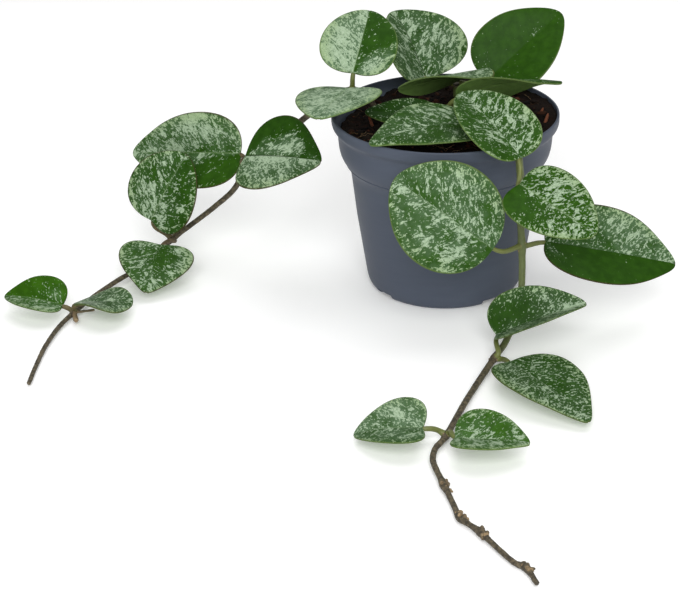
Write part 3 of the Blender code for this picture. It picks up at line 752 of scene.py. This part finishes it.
def build_soil():
    """A filled block, whose surface is spread out to the wall so that no gap shows."""
    top = SOIL_EDGE_HEIGHT
    side_top = top - SOIL_EDGE_DEPTH
    side = [(radius - GAP, height) for radius, height in pot_inside() if height < side_top]
    side.append((SOIL_EDGE_RADIUS, side_top))
    rings = int(SOIL_EDGE_RADIUS / SOIL_RING_STEP)
    surface = [(SOIL_EDGE_RADIUS * (rings - ring) / rings, top) for ring in range(rings + 1)]
    profile = [(0, FLOOR + GAP), (BASE_RADIUS - 2 * WALL, FLOOR + GAP)] + side + surface
    mesh = turned_mesh("soil", profile, SOIL_SIDES)
    wall_radii, wall_heights = zip(*pot_inside())
    for vertex in mesh.vertices:
        x, y, z = vertex.co / MM
        if z > top - SOIL_EDGE_DEPTH / 2:
            z = soil_height(x, y) + fine_relief(x, y)
            wall = np.interp(z - SOIL_EDGE_DEPTH, wall_heights, wall_radii)
            reach = (wall - GAP) / SOIL_EDGE_RADIUS
            spread = 1 + (reach - 1) * (math.hypot(x, y) / SOIL_EDGE_RADIUS) ** SOIL_SPREAD_POWER
            vertex.co = (x * spread * MM, y * spread * MM, z * MM)
    finish_mesh("soil", mesh, [soil_material()], "potting_soil", "soil")


def soil_spot(draw):
    """A random place on the soil."""
    radius = BIT_REACH * math.sqrt(draw.random())
    turn = draw.uniform(0, math.tau)
    return radius * math.cos(turn), radius * math.sin(turn)


def bit_points(draw, ball):
    """Points of a stretched and lumpy ball that lies on the soil."""
    x, y = soil_spot(draw)
    least, more = BIT_SIZE
    size = least + more * draw.random() ** BIT_SIZE_POWER
    sizes = np.array([size * draw.uniform(*span) for span in BIT_STRETCH])
    turn = np.array(Matrix.Rotation(draw.uniform(0, math.tau), 3, "Z")
                    @ Matrix.Rotation(draw.uniform(-BIT_TILT, BIT_TILT), 3, "X"))
    inward = min(1.0, (SOIL_EDGE_RADIUS - BIT_MARGIN * max(sizes)) / math.hypot(x, y))
    x, y = x * inward, y * inward
    place = np.array((x, y, soil_height(x, y) + BIT_LIFT * size))
    pattern = Vector((draw.uniform(0, 100), 0, 0))
    height, fineness = BIT_LUMPS
    lumps = [1 + height * noise.noise(Vector(point * fineness) + pattern) for point in ball]
    return [place + turn @ (point * lump * sizes) for point, lump in zip(ball, lumps)]


def fibre_line(draw):
    """A line that wanders over the soil."""
    x, y = soil_spot(draw)
    heading = draw.uniform(0, math.tau)
    line = []
    for _ in range(FIBRE_POINTS):
        line.append((x, y, soil_height(x, y) + draw.uniform(*FIBRE_LIFT)))
        heading += draw.uniform(-FIBRE_TURN, FIBRE_TURN)
        step = draw.uniform(*FIBRE_STEP)
        x, y = x + step * math.cos(heading), y + step * math.sin(heading)
    return line


def build_soil_bits():
    """Bark bits lying on the soil, chips that stand up, and coir fibres among them."""
    draw = random.Random(BIT_SEED)
    parts, tints = [], []
    form = bmesh.new()
    bmesh.ops.create_icosphere(form, subdivisions=2, radius=1.0)
    ball = [np.array(vertex.co) for vertex in form.verts]
    ball_faces = [tuple(vertex.index for vertex in face.verts) for face in form.faces]
    form.free()
    for _ in range(BIT_COUNT):
        parts.append((bit_points(draw, ball), ball_faces))
        tint = draw.choice(BIT_TINTS)
        shade = draw.uniform(*BIT_SHADES)
        tints.append(tuple(channel * shade for channel in tint))

    sideways, backwards = CHIP_LEAN
    for x, y, height, width in CHIPS:
        foot = np.array((x, y, soil_height(x, y) - CHIP_SINK))
        lean = np.array((draw.uniform(-sideways, sideways), draw.uniform(-backwards, backwards), 1.0))
        parts.append(spike(foot, lean * (height + CHIP_SINK), width / 2, CHIP_TAPER, FIBRE_SIDES))
        tints.append(CHIP_TINT)

    for _ in range(FIBRE_COUNT):
        line = fibre_line(draw)
        if max(math.hypot(x, y) for x, y, _ in line) < BIT_REACH:
            radius = draw.uniform(*FIBRE_RADIUS)
            parts.append(sweep(line, [radius] * FIBRE_POINTS, FIBRE_SIDES))
            tints.append(draw.choice(FIBRE_TINTS))

    mesh = mesh_of("soil_bits", *join(parts))
    set_attribute(mesh, "tint", [tint for (points, _), tint in zip(parts, tints) for _ in points])
    finish_mesh("soil_bits", mesh, [bit_material()], None, "soil")


# ---- Stems ----
def stem_radius(stem, share):
    return stem.start_radius + (stem.end_radius - stem.start_radius) * share


def bud(points, radii, index, draw, swelling):
    """A rounded bud or root that swells out sideways or upwards from a stem; and how dry it is."""
    tangent = unit(points[index + 1] - points[index - 1])
    side = unit(np.cross(tangent, np.array((0, 0, 1.0))))
    up = np.cross(side, tangent)
    turn = draw.uniform(-BUD_DIP, math.pi + BUD_DIP)
    out = side * math.cos(turn) + up * math.sin(turn)
    length = draw.uniform(*BUD_LENGTH) * swelling.length
    girth = draw.uniform(*BUD_GIRTH) * swelling.girth
    foot = points[index] + out * (radii[index] - BUD_SINK)
    lean = out + tangent * draw.uniform(-BUD_LEAN, BUD_LEAN)
    form = spike(foot, lean * length, girth, BUD_TAPER, BUD_SIDES, BUD_LIFT * (1 + girth))
    return form, draw.uniform(*KNOT_TANS) if swelling is KNOT else NODE_TAN


def build_stem(stem, material):
    """Bark along a stem's route, swollen at its nodes and knots, with buds and stubs there."""
    is_vine = "vine" in stem.name
    fine = smooth_route(stem.route)
    lengths = np.concatenate(([0.0], np.cumsum(np.linalg.norm(np.diff(fine, axis=0), axis=1))))
    total = lengths[-1]
    places = np.linspace(0, total, int(total / STEM_STEP))
    points = np.stack([np.interp(places, lengths, fine[:, axis]) for axis in range(3)], axis=1)
    marks = []
    for index in stem.nodes + stem.knots:
        nearest = np.argmin(np.linalg.norm(fine - np.array(stem.route[index]), axis=1))
        marks.append((lengths[nearest], KNOT if index in stem.knots else NODE))
    radii = []
    for place in places:
        radius = stem_radius(stem, place / total)
        for mark, swelling in marks:
            near = max(0.0, 1.0 - abs(place - mark) / NODE_REACH)
            radius *= 1.0 + swelling.rise * near ** NODE_POWER
        radii.append(radius)

    def roughen(index, turn, point):
        ridges = BARK_RIDGE * math.sin(BARK_RIDGES * turn + BARK_RIDGE_TURN * index)
        return ridges + BARK_RELIEF * noise.noise(Vector(point) / BARK_LUMP) - BARK_RIDGE

    def add(part, age, tan):
        parts.append(part)
        ages.extend([age] * len(part[0]))
        tans.extend([tan] * len(part[0]))

    parts = [sweep(points, radii, STEM_SIDES, roughen)]
    ages = (places / total - stem.green_until) * AGEING + GREEN_END_AGE
    for mark, _ in marks:
        ages += NODE_BROWNING * np.exp(-((places - mark) / NODE_REACH) ** 2)
    ages = list(np.repeat(np.clip(ages, 0, 1), STEM_SIDES))
    tans = [0.0] * len(ages)

    draw = random.Random(stem.name + "_stem")
    foot, tip = BUD_ENDS
    for mark, swelling in marks if is_vine else []:
        for _ in range(swelling.buds):
            place = mark + draw.uniform(-BUD_SPREAD, BUD_SPREAD) * swelling.spread
            if foot < place < total - tip:
                index = int(np.argmin(np.abs(places - place)))
                form, tan = bud(points, radii, index, draw, swelling)
                add(form, 1.0, tan)
    for stub in STUBS:
        if stub.stem == stem.name:
            node = np.array(stem.route[stub.node], dtype=float)
            way = unit(np.array(stub.way)) * stub.length
            add(spike(node, way, stub.radius, STUB_TAPER, BUD_SIDES), STUB_AGE, stub.tan)

    name = stem.name + ("_bark" if is_vine else "_stem_skin")
    mesh = mesh_of(name, *join(parts))
    set_attribute(mesh, "age", ages)
    set_attribute(mesh, "tan", tans)
    finish_mesh(name, mesh, [material], stem.name + "_stem", "stems")


# ---- Leaves ----
def leaf_frame(leaf):
    """Axes of a leaf: along its midrib, across it, and out of its upper face; and its length."""
    axis = Vector(leaf.tip) - Vector(leaf.base)
    length = axis.length
    axis.normalize()
    up = (Vector((0, 0, 1)) - axis * axis.z).normalized()
    side = up.cross(axis)
    roll = math.radians(leaf.roll)
    face = up * math.cos(roll) + side * math.sin(roll)
    return np.array(axis), np.array(face.cross(axis)), np.array(face), length


def outline(leaf, length, turn):
    """The flat half outline, from the petiole (turn 0) round to the tip (turn pi)."""
    share = (1 - np.cos(turn)) / 2
    lobe = leaf.lobe * np.sin(turn) * (1 + np.cos(turn)) / 2
    x = length * ((share - lobe) * (1 - leaf.beak) + leaf.beak * share ** BEAK_POWER)
    y = leaf.width / 2 * np.sin(turn) * (1 + leaf.shoulder * np.cos(turn))
    return x, y * (1 - BEAK_PINCH * leaf.beak * share ** BEAK_PINCH_POWER)


def shaped(leaf, length, x, y, lift):
    """Fold, twist and arch points of the flat blade, then turn its chord back on to the axis."""
    crease = CREASE * leaf.width
    fold = math.radians(leaf.fold)
    rise = np.hypot(y, crease) - crease
    flat = y * math.cos(fold)
    up = rise * math.sin(fold) + lift
    twist = math.radians(leaf.twist) * (x / length - 0.5)
    across = flat * np.cos(twist) - up * np.sin(twist)
    up = flat * np.sin(twist) + up * np.cos(twist)
    bend = math.radians(leaf.bend)
    radius = length / bend
    turn = x / radius
    forward = (radius + up) * np.sin(turn)
    height = (radius + up) * np.cos(turn) - radius
    chord = np.array((math.sin(bend), math.cos(bend) - 1)) * radius
    along, drop = unit(chord)
    stretch = length / np.linalg.norm(chord)
    return (forward * along + height * drop) * stretch, across, height * along - forward * drop


def blade_grid(leaf, length):
    """Faces of two sheets that share their margins and the tip; and for each vertex its flat place
    (x, y), its shares along and across (t, s), and its sheet (1 upper, -1 lower, 0 both)."""
    shares = [-share for share in reversed(LEAF_SHARES[1:])] + LEAF_SHARES
    last = len(shares) - 1
    ids, rows = {}, []

    def corner(row, column, side):
        if row == LEAF_ROWS:
            key, sheet = "tip", 0
        elif row == 0:
            key, sheet = side, side
        elif column in (0, last):
            key, sheet = (row, column), 0
        else:
            key, sheet = (row, column, side), side
        if key not in ids:
            ids[key] = len(ids)
            t = row / LEAF_ROWS
            s = 0.0 if row in (0, LEAF_ROWS) else shares[column]
            x_edge, y_edge = outline(leaf, length, math.pi * t)
            rows.append((length * t * (1 - abs(s)) + x_edge * abs(s), y_edge * s, t, s, sheet))
        return ids[key]

    faces = []
    for side in (1, -1):
        for row in range(LEAF_ROWS):
            for column in range(last):
                ring = [corner(row, column, side), corner(row, column + 1, side),
                        corner(row + 1, column + 1, side), corner(row + 1, column, side)]
                ring = tuple(dict.fromkeys(ring))
                if len(ring) > 2:
                    faces.append(ring)
    for column in (0, last):
        faces.append((corner(0, column, 1), corner(1, column, 1), corner(0, column, -1)))
    return faces, np.array(rows).T


def blade(leaf, splash, number):
    """Points, faces and attributes of a fine blade with a rounded margin."""
    axis, across, face, length = leaf_frame(leaf)
    faces, (x, y, t, s, side) = blade_grid(leaf, length)
    reach = np.abs(s)
    thick = THICKNESS_MARGIN + (THICKNESS_MIDDLE - THICKNESS_MARGIN) * (1 - reach ** 2)
    past = np.clip((reach - ROUND_MARGIN) / (1 - ROUND_MARGIN), 0, 1)
    past_tip = np.clip((t - ROUND_TIP) / (1 - ROUND_TIP), 0, 1)
    thick *= np.sqrt(1 - past ** 2) * np.sqrt(1 - past_tip ** 2)
    fade = np.clip(MIDRIB_FADE - t ** 2, 0, 1)
    lift = side * thick / 2
    lift -= np.where(side > 0, MIDRIB_GROOVE, MIDRIB_RIDGE) * fade * np.exp(-(y / MIDRIB_WIDTH) ** 2)
    seed = LEAF_SEED * number
    waves = [noise.noise(Vector((px / WAVE_LENGTH, py / WAVE_LENGTH, seed))) for px, py in zip(x, y)]
    lift += WAVE * np.array(waves) * np.minimum(1, t * WAVE_START)
    lift -= CURL * reach ** CURL_POWER
    along, sideways, out = shaped(leaf, length, x, y, lift)
    points = (np.array(leaf.base) + along[:, None] * axis + sideways[:, None] * across
              + out[:, None] * face)

    angle = math.radians(VEIN_ANGLE)
    spot = np.stack([x * math.cos(angle) + np.abs(y) * math.sin(angle),
                     np.abs(y) * math.cos(angle) - x * math.sin(angle),
                     seed + HALF_SEED * np.where(y >= 0, 1.0, -1.0)], axis=1)
    cover = np.where(y >= 0, splash.left, splash.right)
    for patch_t, patch_s, radius, amount in splash.patches:
        apart = (t - patch_t) ** 2 + ((s - patch_s) / PATCH_STRETCH) ** 2
        cover = cover + amount * np.exp(-(apart / radius ** 2))
    values = {"spot": spot, "cover": cover, "under": (side < 0).astype(float),
              "edge": np.maximum(reach, 2 * past_tip),  # the tip's last rows are margin too
              "rib": fade * np.exp(-(y / MIDRIB_LINE) ** 2)}
    for tone in ("coarse", "haze", "green", "midrib", "margin"):
        values[tone] = np.full(len(x), getattr(splash, tone))
    return points, faces, values


def petiole(leaf, stem):
    """Points and faces of a petiole, from its stem to a little way under the blade."""
    route = np.array(stem.route, dtype=float)
    last = len(route) - 1
    node = route[leaf.node]
    tangent = unit(route[min(leaf.node + 1, last)] - route[leaf.node - 1])
    axis, _, face, _ = leaf_frame(leaf)
    base = np.array(leaf.base, dtype=float)
    away = np.array(leaf.leave, dtype=float) if leaf.leave else base - node
    away = unit(away - tangent * away.dot(tangent))
    radius = stem_radius(stem, leaf.node / last)
    start = node + away * (radius * (1 + NODE.rise) - PETIOLE_ROOT)
    sunk = base + axis * PETIOLE_SINK - face * PETIOLE_DROP
    pull = PETIOLE_PULL * np.linalg.norm(base - start)
    corners = [start, start + away * pull, base - axis * pull - face * PETIOLE_DROP / 2, sunk]
    foot_rise, foot_share = PETIOLE_FOOT
    line, radii = [], []
    for step in range(PETIOLE_STEPS + 1):
        t = step / PETIOLE_STEPS
        weights = ((1 - t) ** 3, 3 * t * (1 - t) ** 2, 3 * t * t * (1 - t), t ** 3)
        line.append(sum(corner * weight for corner, weight in zip(corners, weights)))
        foot = foot_rise * max(0.0, 1 - t / foot_share) ** 2
        radii.append(PETIOLE_RADIUS * (1.0 + foot - PETIOLE_TAPER * t ** 3))

    def roughen(index, turn, point):
        return PETIOLE_RELIEF * noise.noise(Vector(point) / PETIOLE_LUMP)

    return sweep(line, radii, PETIOLE_SIDES, roughen)


def build_leaf(name, leaf, splash, stem, number, materials):
    points, faces, values = blade(leaf, splash, number)
    stalk_points, stalk_faces = petiole(leaf, stem)
    added = len(stalk_points)
    parts = [(points, faces), (stalk_points, stalk_faces)]
    indices = [0] * len(faces) + [1] * len(stalk_faces)
    mesh = mesh_of(name + "_fine", *join(parts), indices)
    for key, numbers in values.items():
        padding = np.zeros((added, *numbers.shape[1:]))
        set_attribute(mesh, key, np.concatenate([numbers, padding]))
    set_attribute(mesh, "age", np.full(len(mesh.vertices), OLD_PETIOLES.get(number, PETIOLE_AGE)))
    set_attribute(mesh, "tan", np.zeros(len(mesh.vertices)))
    finish_mesh(name + "_blade", mesh, materials, name, "leaves")


# ---- Surroundings ----
def build_stage():
    """A pale floor, an even white world and three soft lights."""
    scene = bpy.context.scene
    bpy.ops.mesh.primitive_plane_add(size=FLOOR_SIZE)
    floor = bpy.context.object
    floor.name = "floor"
    tree = Tree("floor")
    tree.finish(FLOOR_COLOUR, FLOOR_ROUGH)
    tree.shader.inputs["Emission Color"].default_value = WHITE
    tree.shader.inputs["Emission Strength"].default_value = FLOOR_GLOW
    floor.data.materials.append(tree.material)

    world = bpy.data.worlds.new("studio")
    world.use_nodes = True
    background = world.node_tree.nodes["Background"]
    background.inputs["Color"].default_value = WHITE
    background.inputs["Strength"].default_value = WORLD_STRENGTH
    scene.world = world
    scene.view_settings.view_transform = "Standard"

    for name, place, size, power in LIGHTS:
        light = bpy.data.lights.new(name, "AREA")
        light.shape = "DISK"
        light.size = size
        light.energy = power
        item = bpy.data.objects.new(name, light)
        item.location = place
        item.rotation_euler = (LIGHT_AIM - Vector(place)).to_track_quat("-Z", "Y").to_euler()
        scene.collection.objects.link(item)


def build_camera():
    """A long lens in front of the plant, a little above it and turned slightly to the left."""
    yaw, pitch, roll = (math.radians(angle) for angle in CAMERA_TURN)
    turn = (Matrix.Rotation(yaw, 4, "Z") @ Matrix.Rotation(math.pi / 2 - pitch, 4, "X")
            @ Matrix.Rotation(roll, 4, "Z"))
    data = bpy.data.cameras.new("camera")
    data.lens = LENS
    camera = bpy.data.objects.new("camera", data)
    camera.matrix_world = Matrix.Translation(CAMERA_PLACE) @ turn
    bpy.context.scene.collection.objects.link(camera)
    bpy.context.scene.camera = camera


def main():
    build_pot()
    build_soil()
    build_soil_bits()
    bark = stalk_material("stem_skin", STEM_GREEN, STEM_BARK)
    for stem in STEMS:
        build_stem(stem, bark)
    materials = [leaf_material(), stalk_material("petiole_skin", PETIOLE_GREEN, PETIOLE_BROWN)]
    number = 0
    for stem in STEMS:
        for place, (leaf, splash) in enumerate(zip(LEAVES[stem.name], SPLASHES[stem.name]), 1):
            number += 1
            build_leaf(f"{stem.name}_leaf_{place}", leaf, splash, stem, number, materials)
    build_stage()
    build_camera()


main()
